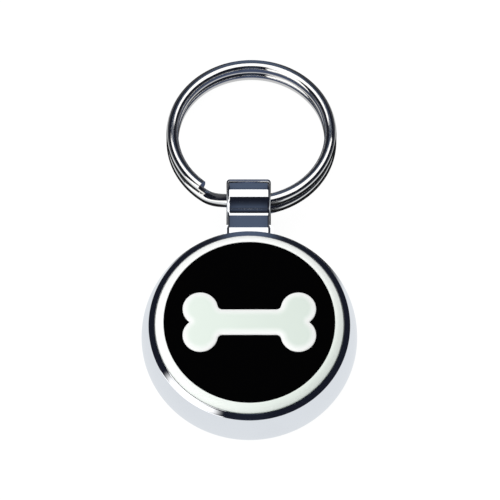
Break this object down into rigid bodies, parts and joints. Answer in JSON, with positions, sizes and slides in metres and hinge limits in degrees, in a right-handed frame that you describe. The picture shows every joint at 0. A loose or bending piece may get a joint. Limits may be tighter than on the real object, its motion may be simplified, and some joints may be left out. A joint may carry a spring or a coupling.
{
  "type": "pet id tag",
  "caption": "Round polished metal pet ID tag with a black face, a raised pale bone and rim, and a split ring through its lug.",
  "frame": {"origin": "centre of the flat round back face, on the tag's axis", "axes": "+Z out of the decorated face, +Y from the tag's centre towards the lug and the ring, +X to the right of someone who reads the face with the lug at the top"},
  "size_m": [0.031, 0.0584, 0.0099],
  "materials": {
    "body_chrome": "mirror-polished plating over a die casting",
    "cap_pale": "smooth pale green-white moulding",
    "disc_black": "deep black, smooth",
    "ring_steel": "bright nickel-plated spring steel"
  },
  "bodies": {
    "tag": {"tag_body": "body_chrome", "glow_cap": "cap_pale", "face_disc": "disc_black"},
    "ring": {"split_ring": "ring_steel"}
  },
  "joints": [
    {"name": "ring_swing", "type": "hinge", "parent": "tag", "child": "ring", "pos_m": [0, 0.02005, 0.0057], "axis": [1, 0, 0], "range_deg": [-136, 164]}
  ]
}
